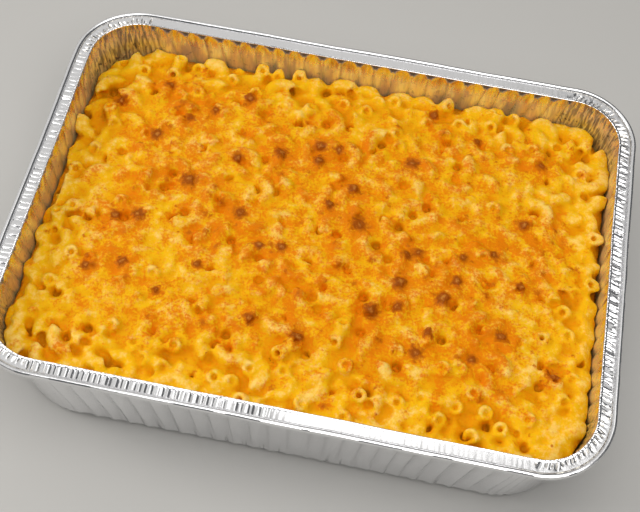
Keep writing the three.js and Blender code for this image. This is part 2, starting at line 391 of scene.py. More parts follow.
foil_sheet, notch_places = wrap_sheet()
foil_tray = press_foil_tray(foil_sheet)
dent_foil(foil_tray)
apply_to(foil_tray, "three sides a face", "TRIANGULATE")
foil_share = MOST_FACES_OF_SHEET / len(foil_tray.data.polygons)
apply_to(foil_tray, "fewer faces", "DECIMATE", ratio=foil_share)
apply_to(foil_tray, "foil", "SOLIDIFY", thickness=FOIL, offset=-1)
bpy.ops.object.shade_smooth_by_angle(angle=math.radians(35))


def set_sockets(node, values):
    """Gives a node's sockets these values, or links them where a value is itself worked out."""
    for name, value in values.items():
        if isinstance(value, Shade):
            value.tree.links.new(value.output, node.inputs[name])
        else:
            node.inputs[name].default_value = value


class Shade:
    """A value or colour in a material's nodes: sums on it add the Math nodes that work them out."""

    def __init__(self, tree, output=None):
        self.tree = tree
        self.output = output

    def node(self, kind, settings=None, sockets=None, out=0):
        """Adds a node: its settings are set first, then the values or links of its sockets."""
        made = self.tree.nodes.new(kind)
        for name, value in (settings or {}).items():
            setattr(made, name, value)
        set_sockets(made, sockets or {})
        return Shade(self.tree, made.outputs[out])

    def math(self, operation, first, second):
        return self.node("ShaderNodeMath", {"operation": operation}, {0: first, 1: second})

    def __add__(self, other):
        return self.math("ADD", self, other)

    def __radd__(self, other):
        return self.math("ADD", other, self)

    def __sub__(self, other):
        return self.math("SUBTRACT", self, other)

    def __rsub__(self, other):
        return self.math("SUBTRACT", other, self)

    def __mul__(self, other):
        return self.math("MULTIPLY", self, other)

    def __rmul__(self, other):
        return self.math("MULTIPLY", other, self)

    def between(self, low, high):
        """0 where this is below low, 1 above high, and a smooth rise between them."""
        settings = {"interpolation_type": "SMOOTHSTEP"}
        return self.node("ShaderNodeMapRange", settings, {"Value": self, 1: low, 2: high})

    def mixed(self, first, second):
        """The colour that goes from first to second as this goes from 0 to 1."""
        settings = {"data_type": "RGBA"}
        sockets = {"Factor": self, 6: first, 7: second}
        return self.node("ShaderNodeMix", settings, sockets, out=2)

    def grain(self, place, size, detail=3, roughness=0.5):
        """Noise from 0 to 1 whose lumps are this large, in metres."""
        sockets = {"Vector": place, "Scale": 1 / size, "Detail": detail, "Roughness": roughness}
        return self.node("ShaderNodeTexNoise", None, sockets)

    def attribute(self, name):
        """A value that the mesh holds for each of its vertices."""
        return self.node("ShaderNodeAttribute", {"attribute_name": name}, out=2)


def new_finish(name):
    """A material with one shader, and the place to start its sums from."""
    material = bpy.data.materials.new(name)
    material.use_nodes = True
    shader = material.node_tree.nodes["Principled BSDF"]
    return material, shader, Shade(material.node_tree)


def bright_foil():
    """Soft aluminium: rolling lines, fine scuffs, a film of browned fat just above the food, painted
    shade in notches.
    """
    material, shader, shade = new_finish("bright_foil")
    place = shade.node("ShaderNodeTexCoord", out=3)
    height = shade.node("ShaderNodeSeparateXYZ", None, {0: place}, out=2)
    scuffs = shade.grain(place, 2.5 * MM, detail=6, roughness=0.7)
    clouds = shade.grain(place, 22 * MM)
    spots = shade.grain(place, 3 * MM, detail=2)
    inside = shade.attribute("inside")
    corner = shade.attribute("corner")
    drawn_out = shade.node(
        "ShaderNodeVectorMath", {"operation": "MULTIPLY"}, {0: place, 1: (1, 1, 0.12)}
    )
    streaks = shade.grain(drawn_out, 1.4 * MM)
    low = (height * -1).between(-66 * MM, -52 * MM) * inside
    drips = streaks.between(0.46, 0.6) * (0.2 + corner * 0.8) * inside
    film = low * (0.6 + clouds.between(0.3, 0.7) * 0.25) + corner * inside * 0.15
    burnt = spots.between(0.62, 0.7) * low * (0.3 + corner * 0.5) + drips * 0.7
    # The notches between the arches are painted in shade: dark grey, and not metal.
    painted_notch_shade = shade.attribute("painted_notch_shade")
    metal = clouds.mixed((0.83, 0.83, 0.84, 1), (0.92, 0.92, 0.93, 1))
    fat = (streaks.between(0.3, 0.5) * corner).mixed((1, 0.83, 0.2, 1), (0.66, 0.48, 0.09, 1))
    golden = film.mixed(metal, fat)
    stains_and_painted_shade = burnt.mixed(golden, (0.13, 0.075, 0.025, 1))
    # Painted shade: the notches turn a dark grey here.
    stains_and_painted_shade = painted_notch_shade.mixed(stains_and_painted_shade, (0.15, 0.15, 0.17, 1))
    worn = 0.14 + scuffs * 0.16 + film * 0.15 + burnt * 0.3
    bumps = scuffs * 0.3 + shade.grain(place, 0.8 * MM, detail=4) * 0.15
    normal = shade.node(
        "ShaderNodeBump", None, {"Strength": 0.12, "Distance": 0.6 * MM, "Height": bumps}
    )
    # Less metal under the fat film and burnt spots, and none in the notches' painted shade.
    bare = 1 - film * 0.6 - burnt * 0.3 - painted_notch_shade
    look = {"Base Color": stains_and_painted_shade, "Metallic": bare, "Roughness": worn, "Normal": normal}
    set_sockets(shader, look)
    return material


def write_marks(piece, marks):
    """Keeps a value for each vertex of a piece, under each of these names."""
    for name, values in marks.items():
        layer = piece.data.attributes.new(name, "FLOAT", "POINT")
        layer.data.foreach_set("value", values.astype(np.float32))


def mark_foil(tray):
    """Marks the foil on the food's side and in the corners, and the notches between the arches for
    painted shade.
    """
    points = points_of(tray)
    normals = points_of(tray, "normal")
    facing_in = (normals[:, :2] * points[:, :2]).sum(axis=1) < 0
    inside = facing_in & (points[:, 2] < flange_level - 0.3 * MM)
    over_x = smooth_share(half_length - 60 * MM, half_length - 25 * MM, np.abs(points[:, 0]))
    over_y = smooth_share(half_width - 60 * MM, half_width - 25 * MM, np.abs(points[:, 1]))
    notches = KDTree(len(notch_places))
    for number, place in enumerate(notch_places):
        notches.insert(place, number)
    notches.balance()
    away = np.array([notches.find(point)[2] for point in points])
    # The notches under the lip are marked here for painted shade.
    painted_notch_shade = inside * smooth_share(1.1 * MM, 0.4 * MM, away)
    write_marks(tray, {"inside": inside, "corner": over_x * over_y, "painted_notch_shade": painted_notch_shade})


mark_foil(foil_tray)
foil_tray.data.materials.append(bright_foil())
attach(foil_tray, "root")
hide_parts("foil_tray")

# ------------ the macaroni and cheese
# Cooked elbow macaroni in a thick cheese sauce, baked until its top has set and browned in spots.
# Each elbow is a short bent tube with open ends. Some stand, most lie side by side, and more fill the
# gaps below them. All are then melted together with the sauce that they lie in.
EDGE_LEVEL = 46.5 * MM
DOME = 5 * MM
SIDE_CLEARANCE = 0.4 * MM
WALL_GAP = 0.15 * MM
HIDDEN_GAP = 1 * MM
WALL_PROBES = (-1.8 * MM, -0.9 * MM, 0, 0.9 * MM, 1.8 * MM)
RAY_START = 15 * MM
TUBE_RADIUS = 4.25 * MM
HOLE_RADIUS = 1.85 * MM
BEND_RADIUS = 7.7 * MM
TUBE_SIDES = 12
BEND_STEPS = 9
ELBOW_SWEEPS = (115, 140, 165, 190)
LINE_POINTS = 15
ELBOW_STAND = 6.4 * MM
TOP_COUNT = 235
UPRIGHT_COUNT = 75
FILLER_STAND = 3.8 * MM
FILLER_COUNT = 330
PUSHES = 90
TOUCHING = 7.7 * MM
PUSH = 0.3
PUSH_OFF_WALL = 2.5
PLACES_TRIED = 30
UPRIGHT_POSES_TRIED = 30
POSES_TRIED = 16
FULL_TURN = 6.28
OPEN_TOWARDS = (-2.5, -0.4)
LEAST_LEAN = 0.1
MOST_LEAN_SEEN = 0.5
MOST_LEAN = 0.8
TILT_ON_TOP = 0.16
TILT_BELOW = 0.2
PIT_RADIUS = 3 * MM
PIT_DEPTH = 4.2 * MM
HEAP_CELL = 1 * MM
SAUCE_AT_EDGE = 0.9 * MM
SAUCE_IN_MIDDLE = 3.1 * MM
SAUCE_DROP_AT_WALL = 3.2 * MM
SLAB_BOTTOM = 34 * MM
SLAB_HEIGHT = 20 * MM
SAUCE_VOXEL = 2.5 * MM
SIDE_START = 37 * MM
SIDE_HEIGHTS = (28 * MM, 19 * MM, 12 * MM, 8 * MM, 5.5 * MM, 3.5 * MM, 2.2 * MM, 1.4 * MM)
MELT_VOXEL = 0.85 * MM
CREASE_FILL = 0.5 * MM
MOST_TRIANGLES = 178000


def room_inside(x, y):
    """How far a place is inside the tray's wall, and the x and y of the way out to the wall."""
    inset, corner = wall_inset(EDGE_LEVEL)
    clear = FLUTE_DEPTH + SIDE_CLEARANCE
    corner -= clear
    over_x = np.abs(x) - (half_length - inset - clear - corner)
    over_y = np.abs(y) - (half_width - inset - clear - corner)
    out_x, out_y = np.maximum(over_x, 0), np.maximum(over_y, 0)
    outside = np.hypot(out_x, out_y)
    room = corner - outside - np.minimum(np.maximum(over_x, over_y), 0)
    nearer_x = over_x > over_y
    out_x = np.where(outside > 0, out_x, nearer_x * 1.0)
    out_y = np.where(outside > 0, out_y, 1.0 - nearer_x)
    length = np.hypot(out_x, out_y)
    return room, out_x / length * np.sign(x), out_y / length * np.sign(y)


def bed_level(x, y):
    """The height round which the macaroni lies: lowest along the wall."""
    share = ((np.abs(x) / (0.93 * half_length)) ** 4 + (np.abs(y) / (0.91 * half_width)) ** 4) ** 0.25
    return EDGE_LEVEL + DOME * (1 - np.clip(share, 0, 1) ** 3)


def soft_noise(x, y, size, seed):
    """Rounded noise from about -1 to 1 over the tray, with lumps of this size."""
    places = np.stack([np.ravel(x), np.ravel(y)], axis=1) / size
    values = [noise.noise(Vector((px + seed * 7.3, py - seed * 3.1, seed))) for px, py in places]
    return np.array(values).reshape(np.shape(x))


class Heap:
    """The tray as it fills: the height of what lies in it, over a grid of small cells."""

    def __init__(self):
        self.columns = int(half_length / HEAP_CELL)
        self.rows = int(half_width / HEAP_CELL)
        across = np.arange(-self.columns, self.columns + 1) * HEAP_CELL
        along = np.arange(-self.rows, self.rows + 1) * HEAP_CELL
        x, y = np.meshgrid(across, along, indexing="ij")
        self.height = bed_level(x, y) - 2 * TUBE_RADIUS
        reach = int(TUBE_RADIUS / HEAP_CELL)
        cells = [(i, j) for i in range(-reach, reach + 1) for j in range(-reach, reach + 1)]
        self.disc = np.array([cell for cell in cells if math.hypot(*cell) * HEAP_CELL < TUBE_RADIUS])
        self.bulge = np.sqrt(TUBE_RADIUS**2 - (self.disc**2).sum(axis=1) * HEAP_CELL**2)

    def cells_under(self, line):
        """The cells below a tube along this line."""
        column = np.rint(line[:, 0] / HEAP_CELL).astype(int)[:, None] + self.disc[:, 0] + self.columns
        row = np.rint(line[:, 1] / HEAP_CELL).astype(int)[:, None] + self.disc[:, 1] + self.rows
        return np.clip(column, 0, 2 * self.columns), np.clip(row, 0, 2 * self.rows)

    def crowding(self, line):
        """How far a tube along this line would sink into what is already there, on average."""
        underside = line[:, 2][:, None] - self.bulge
        return float(np.maximum(self.height[self.cells_under(line)] - underside, 0).mean())

    def filled(self, places):
        """How high the heap is round each of these x and y places, over the bed."""
        level = self.height[self.cells_under(places)].mean(axis=1)
        return level - bed_level(places[:, 0], places[:, 1])

    def add(self, line):
        """Raises the heap by a tube along this line."""
        cells = self.cells_under(line)
        top = line[:, 2][:, None] + self.bulge
        np.maximum.at(self.height, cells, top)


def elbow_line(sweep):
    """Points along the centre line of an elbow, as it is modelled."""
    angles = np.linspace(-0.5, 0.5, LINE_POINTS) * math.radians(sweep)
    return BEND_RADIUS * np.stack([np.cos(angles), np.sin(angles), 0 * angles], axis=1)


def placed_line(pose, sweep):
    """Points along the centre line of an elbow where it lies."""
    turn = np.array(pose.to_3x3())
    return elbow_line(sweep) @ turn.T + np.array(pose.translation)


def fits_inside(line, slack=0.3 * MM):
    """True where a tube along this line is clear of the wall, or touches it by this at most."""
    return room_inside(line[:, 0], line[:, 1])[0].min() > TUBE_RADIUS - slack


def lying_pose(x, y, bearing, tilt=0.0, roll=0.0):
    """An elbow that lies on its side round this place, open towards the bearing's back."""
    turn = Matrix.Rotation(bearing, 4, "Z") @ Euler((roll, tilt, 0)).to_matrix().to_4x4()
    return Matrix.Translation((x, y, 0)) @ turn


def upright_pose(end, lean, bearing, sweep, spin):
    """An elbow whose one end opens upwards at this place, leaning towards a bearing."""
    facing = Vector(
        (math.sin(lean) * math.cos(bearing), math.sin(lean) * math.sin(bearing), math.cos(lean))
    )
    sideways = facing.orthogonal().normalized()
    sideways.rotate(Matrix.Rotation(spin, 3, facing))
    half = math.radians(sweep) / 2
    end_way = Vector((-math.sin(half), math.cos(half), 0))
    upward = Vector((0, 0, 1))
    from_elbow = Matrix((end_way, upward, end_way.cross(upward)))
    to_tray = Matrix((facing, sideways, facing.cross(sideways))).transposed()
    turn = to_tray @ from_elbow
    end_place = turn @ Vector((BEND_RADIUS * math.cos(half), BEND_RADIUS * math.sin(half), 0))
    return Matrix.Translation(Vector(end) - end_place) @ turn.to_4x4()


# Where open ends are seen best, in the view's pixels, and whole elbows, each with its bearing.
OPEN_ENDS_SEEN_AT = (
    (263, 69), (281, 69), (324, 75), (299, 76), (457, 102), (494, 110), (492, 210), (595, 237),
    (592, 284), (71, 251), (173, 346), (215, 377), (301, 403), (359, 395), (459, 369), (473, 393),
    (501, 428), (528, 419), (345, 366), (486, 413),
)
ELBOWS_SEEN_ROUND = (
    (264, 360, 200), (219, 392, 80), (470, 410, 30), (524, 403, 250), (552, 430, 210),
    (398, 377, 300), (286, 394, 120), (115, 320, 150), (157, 344, 260), (115, 366, 60),
    (344, 404, 90), (434, 430, 200), (198, 381, 20), (430, 388, 100), (320, 352, 330),
)


def push_apart(places, bearings, sweeps, standing):
    """Slides and turns elbows that lie flat until they lie side by side, clear of those that stand."""
    spread = np.linspace(-0.5, 0.5, 7)
    arcs = spread * np.radians(sweeps)[:, None]
    owner = np.repeat(np.arange(len(places)), len(spread))
    others = np.concatenate([owner, np.full(len(standing), -1)])
    for _ in range(PUSHES):
        angles = bearings[:, None] + arcs
        arms = BEND_RADIUS * np.stack([np.cos(angles), np.sin(angles)], axis=2)
        points = (places[:, None] + arms).reshape(-1, 2)
        apart = points[:, None] - np.concatenate([points, standing])[None]
        distance = np.hypot(apart[..., 0], apart[..., 1]) + 0.01 * MM
        overlap = np.clip(TOUCHING - distance, 0, None) * (owner[:, None] != others[None])
        force = (apart / distance[..., None] * overlap[..., None]).sum(axis=1)
        room, out_x, out_y = room_inside(points[:, 0], points[:, 1])
        beyond = np.clip(TUBE_RADIUS - 0.2 * MM - room, 0, None)[:, None]
        force -= np.stack([out_x, out_y], axis=1) * beyond * PUSH_OFF_WALL
        force = force.reshape(arms.shape)
        turning = arms[..., 0] * force[..., 1] - arms[..., 1] * force[..., 0]
        places += PUSH * force.mean(axis=1)
        bearings += PUSH * turning.mean(axis=1) / BEND_RADIUS**2
    return places, bearings


def settle_elbows():
    """The pose and sweep of every elbow: first open ends, then those on their side, then fillers."""
    chance = np.random.default_rng(17)
    heap = Heap()
    laid = []

    def lay(pose, sweep):
        heap.add(placed_line(pose, sweep))
        laid.append((pose, sweep))

    def stand_upright(x, y, above, most_lean):
        """Lays an elbow whose one end opens upwards here, turned so that it clears the wall."""
        end = (x, y, bed_level(x, y) + ELBOW_STAND + above)
        least = (LEAST_LEAN, OPEN_TOWARDS[0], 0)
        most = (most_lean, OPEN_TOWARDS[1], FULL_TURN)
        for _ in range(UPRIGHT_POSES_TRIED):
            lean, bearing, spin = chance.uniform(least, most)
            pose = upright_pose(end, lean, bearing, ELBOW_SWEEPS[0], spin)
            if fits_inside(placed_line(pose, ELBOW_SWEEPS[0])):
                lay(pose, ELBOW_SWEEPS[0])
                standing.append((x, y))
                return

    def fill_gap(spot, stand):
        """Lays an elbow with its middle here, in the least crowded of the poses that are tried."""
        best = None
        for _ in range(POSES_TRIED):
            bearing = chance.uniform(0, FULL_TURN)
            sweep = ELBOW_SWEEPS[chance.integers(4)]
            x = spot[0] - BEND_RADIUS * math.cos(bearing)
            y = spot[1] - BEND_RADIUS * math.sin(bearing)
            pose = lying_pose(x, y, bearing, *chance.normal(0, TILT_BELOW, 2))
            line = placed_line(pose, sweep)
            if not fits_inside(line):
                continue
            rise = bed_level(x, y) + stand - TUBE_RADIUS - line[:, 2].max()
            line[:, 2] += rise
            crowded = heap.crowding(line)
            if best is None or crowded < best[0]:
                best = (crowded, rise, pose, sweep)
        if best:
            _, rise, pose, sweep = best
            pose.translation.z += rise
            lay(pose, sweep)

    def emptiest_place():
        """The place, of many picked at random, where the heap is lowest."""
        places = chance.uniform(-1, 1, (PLACES_TRIED, 2)) * (half_length, half_width)
        places = places[room_inside(places[:, 0], places[:, 1])[0] > TUBE_RADIUS]
        return places[np.argmin(heap.filled(places))]

    standing = []
    top_at_edge = EDGE_LEVEL + ELBOW_STAND
    for across, down in OPEN_ENDS_SEEN_AT:
        x, y = seen_at_height(across, down, top_at_edge + 1 * MM)
        stand_upright(x, y, -0.6 * MM, MOST_LEAN_SEEN)
    while len(standing) < len(OPEN_ENDS_SEEN_AT) + UPRIGHT_COUNT:
        x, y = emptiest_place()
        stand_upright(x, y, chance.uniform(-2.5, -0.8) * MM, MOST_LEAN)
    places, bearings = [], []
    for across, down, degrees in ELBOWS_SEEN_ROUND:
        places.append(seen_at_height(across, down, top_at_edge))
        bearings.append(math.radians(degrees))
    sweeps = [ELBOW_SWEEPS[3]] * len(places)
    while len(places) < TOP_COUNT:
        x, y = emptiest_place()
        places.append((x, y))
        bearings.append(chance.uniform(0, FULL_TURN))
        sweeps.append(ELBOW_SWEEPS[chance.integers(4)])
        flat = lying_pose(x, y, bearings[-1])
        flat.translation.z = bed_level(x, y)
        heap.add(placed_line(flat, sweeps[-1]))
    pushed = push_apart(np.array(places), np.array(bearings), np.array(sweeps), np.array(standing))
    heap = Heap()
    for pose, sweep in laid:
        heap.add(placed_line(pose, sweep))
    for (x, y), bearing, sweep in zip(*pushed, sweeps):
        tilt, roll = chance.normal(0, TILT_ON_TOP, 2)
        pose = lying_pose(x, y, bearing, tilt, roll)
        line = placed_line(pose, sweep)
        rise = bed_level(x, y) + ELBOW_STAND + chance.uniform(-1, 0.2) * MM - TUBE_RADIUS
        rise -= line[:, 2].mean() + 0.5 * (line[:, 2].max() - line[:, 2].mean())
        line[:, 2] += rise
        pose.translation.z += rise - min(1.5 * heap.crowding(line), 2 * MM)
        if fits_inside(line, 1.2 * MM):
            lay(pose, sweep)
    for _ in range(FILLER_COUNT):
        spot = emptiest_place()
        fill_gap(spot, FILLER_STAND + chance.uniform(-1.2, 1.2) * MM)
    return laid


def model_elbow(sweep):
    """One elbow: a ring is spun through its bend and given a wall as thick as cooked pasta."""
    ring = {"vertices": TUBE_SIDES, "radius": TUBE_RADIUS, "location": (BEND_RADIUS, 0, 0)}
    elbow = added(bpy.ops.mesh.primitive_circle_add, rotation=(math.pi / 2, 0, 0), **ring)
    bpy.ops.object.transform_apply()
    with edit_mode():
        bpy.ops.mesh.select_all(action="SELECT")
        bpy.ops.mesh.spin(steps=BEND_STEPS, angle=math.radians(sweep), axis=(0, 0, 1))
        bpy.ops.mesh.select_all(action="SELECT")
        bpy.ops.mesh.normals_make_consistent()
    bends = points_of(elbow)
    half = math.radians(sweep) / 2
    if np.mean(bends[:, 1]) < 0:
        half = -half
    move_points(elbow, bends @ np.array(Matrix.Rotation(-half, 3, "Z")).T)
    apply_to(elbow, "pasta wall", "SOLIDIFY", thickness=TUBE_RADIUS - HOLE_RADIUS, offset=-1)
    return elbow


def joined(pieces):
    """These pieces as one mesh, which is the first of them."""
    bpy.ops.object.select_all(action="DESELECT")
    for piece in pieces:
        piece.select_set(True)
    bpy.context.view_layer.objects.active = pieces[0]
    bpy.ops.object.join()
    return pieces[0]


def lay_elbows():
    """Every elbow, as one mesh."""
    kinds = {sweep: model_elbow(sweep) for sweep in ELBOW_SWEEPS}
    laid = []
    for pose, sweep in elbow_poses:
        copy = kinds[sweep].copy()
        copy.data = kinds[sweep].data.copy()
        copy.data.transform(pose)
        bpy.context.scene.collection.objects.link(copy)
        laid.append(copy)
    for kind in kinds.values():
        bpy.data.objects.remove(kind)
    return joined(laid)


def pour_sauce():
    """The bed of sauce that the elbows lie in: a rounded slab whose top follows the bed."""
    inset, corner = wall_inset(EDGE_LEVEL)
    inset += FLUTE_DEPTH + SIDE_CLEARANCE
    corner -= FLUTE_DEPTH + SIDE_CLEARANCE
    middle = (0, 0, SLAB_BOTTOM + SLAB_HEIGHT / 2)
    sauce = added(bpy.ops.mesh.primitive_cube_add, size=1, location=middle)
    sauce.scale = (2 * (half_length - inset), 2 * (half_width - inset), SLAB_HEIGHT)
    bpy.ops.object.transform_apply()
    points = points_of(sauce)
    with edit_mode():
        bpy.ops.mesh.select_mode(type="EDGE")
        bpy.ops.mesh.select_all(action="DESELECT")
    for edge in sauce.data.edges:
        first, second = edge.vertices
        edge.select = bool(abs(points[first][2] - points[second][2]) > SLAB_HEIGHT / 2)
    with edit_mode():
        bpy.ops.mesh.bevel(offset=corner, segments=10, affect="EDGES")
    apply_to(sauce, "even faces", "REMESH", mode="VOXEL", voxel_size=SAUCE_VOXEL)
    points = points_of(sauce)
    x, y = points[:, 0], points[:, 1]
    room, _, _ = room_inside(x, y)
    fill = smooth_share(8 * MM, 50 * MM, room)
    depth = SAUCE_AT_EDGE + (SAUCE_IN_MIDDLE - SAUCE_AT_EDGE) * fill
    depth -= SAUCE_DROP_AT_WALL * smooth_share(5 * MM, 1.5 * MM, room)
    level = bed_level(x, y) + depth + soft_noise(x, y, 11 * MM, 3) * 1.4 * MM
    top = smooth_share(SLAB_BOTTOM + 0.3 * SLAB_HEIGHT, SLAB_BOTTOM + SLAB_HEIGHT, points[:, 2])
    points[:, 2] += (level - (SLAB_BOTTOM + SLAB_HEIGHT)) * top
    move_points(sauce, points)
    return sauce


def drop_trapped_air(piece):
    """Keeps the outer skin alone, without the closed hollows inside it."""
    highest = int(np.argmax(points_of(piece)[:, 2]))
    with edit_mode():
        bpy.ops.mesh.select_mode(type="VERT")
        bpy.ops.mesh.select_all(action="DESELECT")
    piece.data.vertices[highest].select = True
    with edit_mode():
        bpy.ops.mesh.select_linked()
        bpy.ops.mesh.select_all(action="INVERT")
        bpy.ops.mesh.delete(type="VERT")


def press_pits(points):
    """Lowers the sauce inside the bend of most elbows that lie on their side."""
    chance = np.random.default_rng(31)
    for pose, sweep in elbow_poses:
        level = abs(pose.to_3x3().col[2].z)
        deep = chance.uniform(0.3, 1)
        if level < 0.9 or sweep < 130:
            continue
        away = np.hypot(points[:, 0] - pose.translation.x, points[:, 1] - pose.translation.y)
        above = points[:, 2] - pose.translation.z
        chosen = (away < PIT_RADIUS) & (above < 3 * MM) & (above > -5 * MM)
        bowl = np.clip(1.7 - 1.7 * (away[chosen] / PIT_RADIUS) ** 2, 0, 1)
        points[chosen, 2] -= PIT_DEPTH * deep * bowl


def melt_together(elbows, sauce):
    """Elbows and sauce as one skin, with sauce in the creases, softest in the tray's middle."""
    food = joined([sauce, elbows])
    food.name = "macaroni_in_browned_cheese"
    apply_to(food, "one skin", "REMESH", mode="VOXEL", voxel_size=MELT_VOXEL)
    drop_trapped_air(food)
    apply_to(food, "cheese coat", "DISPLACE", strength=CREASE_FILL, mid_level=0)
    apply_to(food, "creases filled", "REMESH", mode="VOXEL", voxel_size=MELT_VOXEL)
    drop_trapped_air(food)
    apply_to(food, "back to size", "DISPLACE", strength=-CREASE_FILL, mid_level=0)
    points = points_of(food)
    room, _, _ = room_inside(points[:, 0], points[:, 1])
    melted = 0.25 + 0.65 * smooth_share(5 * MM, 50 * MM, room)
    group = food.vertex_groups.new(name="melted")
    for level in range(1, 11):
        share = level / 10
        chosen = np.nonzero((melted > share - 0.1) & (melted <= share))[0]
        group.add(chosen.tolist(), share, "REPLACE")
    apply_to(food, "soften", "SMOOTH", factor=0.5, iterations=4, vertex_group="melted")
    points = points_of(food)
    press_pits(points)
    move_points(food, points)
    return food


def fill_tray(food):
    """Cuts the slab off flat, draws its side down to the base and presses it against the foil."""
    with edit_mode():
        bpy.ops.mesh.select_all(action="SELECT")
        bpy.ops.mesh.bisect(plane_co=(0, 0, SIDE_START), plane_no=(0, 0, 1), clear_inner=True)
        lower = SIDE_START
        for height in SIDE_HEIGHTS:
            drop = (0, 0, height - lower)
            bpy.ops.mesh.extrude_edges_move(TRANSFORM_OT_translate={"value": drop})
            lower = height
        bpy.ops.mesh.edge_face_add()
    foil = BVHTree.FromObject(foil_tray, bpy.context.evaluated_depsgraph_get())
    points = points_of(food)
    room, out_x, out_y = room_inside(points[:, 0], points[:, 1])
    pull = smooth_share(3.5 * MM, 0.8 * MM, room)
    pull[points[:, 2] < SIDE_START + 0.5 * MM] = 1
    for index in np.nonzero(pull > 0)[0]:
        outward = Vector((out_x[index], out_y[index], 0))
        along = Vector((-out_y[index], out_x[index], 0))
        start = Vector(points[index]) - outward * RAY_START
        reaches = []
        for probe in WALL_PROBES:
            _, _, _, distance = foil.ray_cast(start + along * probe, outward, 2 * RAY_START)
            reaches.append(distance or 2 * RAY_START)
        gap = WALL_GAP + HIDDEN_GAP * smooth_share(47 * MM, 41 * MM, points[index, 2])
        move = min(reaches) - RAY_START - gap
        points[index] += np.array(outward) * move * (pull[index] if move > 0 else 1)
    move_points(food, points)


# Where the darkest toasted blisters are seen, in the view's pixels, and how wide each is in mm.
BLISTERS_SEEN_AT = (
    (359, 225, 6.5), (189, 180, 6.5), (281, 153, 6), (400, 282, 6), (443, 298, 6), (371, 310, 6),
    (250, 98, 5), (171, 85, 5), (297, 336, 5.5), (320, 146, 5), (319, 160, 5), (412, 164, 5.5),
    (240, 213, 5), (434, 115, 4.5), (477, 143, 4), (541, 167, 4.5), (524, 225, 5), (501, 337, 5),
    (553, 376, 5.5), (472, 360, 4), (416, 353, 5), (122, 100, 5), (157, 134, 5), (190, 118, 4.5),
    (116, 215, 4.5), (138, 215, 5.5), (122, 261, 4.5), (86, 265, 4), (197, 264, 4), (354, 188, 5),
    (457, 281, 4.5), (463, 258, 4), (494, 255, 4), (259, 244, 4), (282, 247, 4), (397, 307, 4.5),
    (238, 158, 4.5), (216, 110, 4), (249, 318, 4.5), (156, 290, 3.5), (339, 150, 4), (407, 255, 4.5),
    (330, 204, 4), (428, 333, 4), (521, 287, 4), (418, 253, 4),
)
SPECK_COUNT = 320
BLISTER_REACH = 0.62
BLISTER_RISE = 0.3
BLISTER_HALO = 2.3
SPECK_RADII = (0.4, 0.7, 2.5)
SPECK_DARKNESS = (0.35, 0.6)
# Where the cheese is toasted orange, in the same pixels, and how wide each patch is in mm.
TOASTED_SEEN_AT = (
    (108, 106, 20), (150, 130, 16), (172, 84, 12), (205, 70, 9), (190, 119, 12), (250, 98, 12),
    (282, 155, 20), (322, 152, 18), (345, 163, 10), (240, 156, 10), (216, 111, 9), (188, 182, 14),
    (130, 214, 18), (80, 206, 10), (240, 212, 14), (355, 222, 20), (402, 245, 16), (405, 280, 16),
    (443, 296, 14), (371, 310, 16), (432, 116, 12), (412, 165, 14), (478, 143, 9), (504, 152, 8),
    (541, 168, 10), (490, 244, 18), (522, 226, 10), (466, 252, 10), (297, 336, 12), (248, 317, 8),
    (120, 262, 13), (86, 265, 9), (60, 345, 12), (30, 258, 7), (500, 337, 12), (470, 345, 18),
    (553, 376, 11), (415, 352, 14), (286, 272, 12), (560, 212, 9), (380, 268, 13), (450, 272, 12),
    (330, 118, 12), (160, 170, 10), (92, 168, 9), (520, 288, 9), (195, 232, 12), (310, 195, 12),
)


def toasted_spots(food):
    """The place, the radius and the darkness of each blister and each small speck."""
    skin = BVHTree.FromObject(food, bpy.context.evaluated_depsgraph_get())
    eye = camera.matrix_world.translation
    spots = []
    for across, down, width in BLISTERS_SEEN_AT:
        hit, _, _, _ = skin.ray_cast(eye, sight_line(across, down))
        if hit:
            spots.append((hit, BLISTER_REACH * width * MM, 1.0))
    chance = np.random.default_rng(23)
    while len(spots) < len(BLISTERS_SEEN_AT) + SPECK_COUNT:
        x = chance.uniform(-0.9, 0.9) * half_length
        y = chance.uniform(-0.85, 0.85) * half_width
        browning = 0.5 + float(soft_noise(x, y, 34 * MM, 11)) - 0.35 * (abs(y) / half_width)
        if chance.random() > browning:
            continue
        hit, _, _, _ = skin.ray_cast(Vector((x, y, 0.1)), Vector((0, 0, -1)))
        if hit:
            radius = chance.triangular(*SPECK_RADII) * MM
            spots.append((hit, radius, chance.uniform(*SPECK_DARKNESS)))
    return spots


def local_tops(points):
    """The height of the tops round each point, for telling what lies in a hollow."""
    cell = 1.5 * MM
    column = np.rint((points[:, 0] + half_length) / cell).astype(int)
    row = np.rint((points[:, 1] + half_width) / cell).astype(int)
    tops = np.full((column.max() + 2, row.max() + 2), EDGE_LEVEL - 4 * MM)
    np.maximum.at(tops, (column, row), points[:, 2])
    for axis in (0, 1):
        spread = [np.roll(tops, shift, axis) for shift in (-2, -1, 0, 1, 2)]
        tops = np.max(spread, axis=0)
    for axis in (0, 1, 0, 1):
        tops = np.mean([np.roll(tops, shift, axis) for shift in range(-3, 4)], axis=0)
    return tops[column, row]


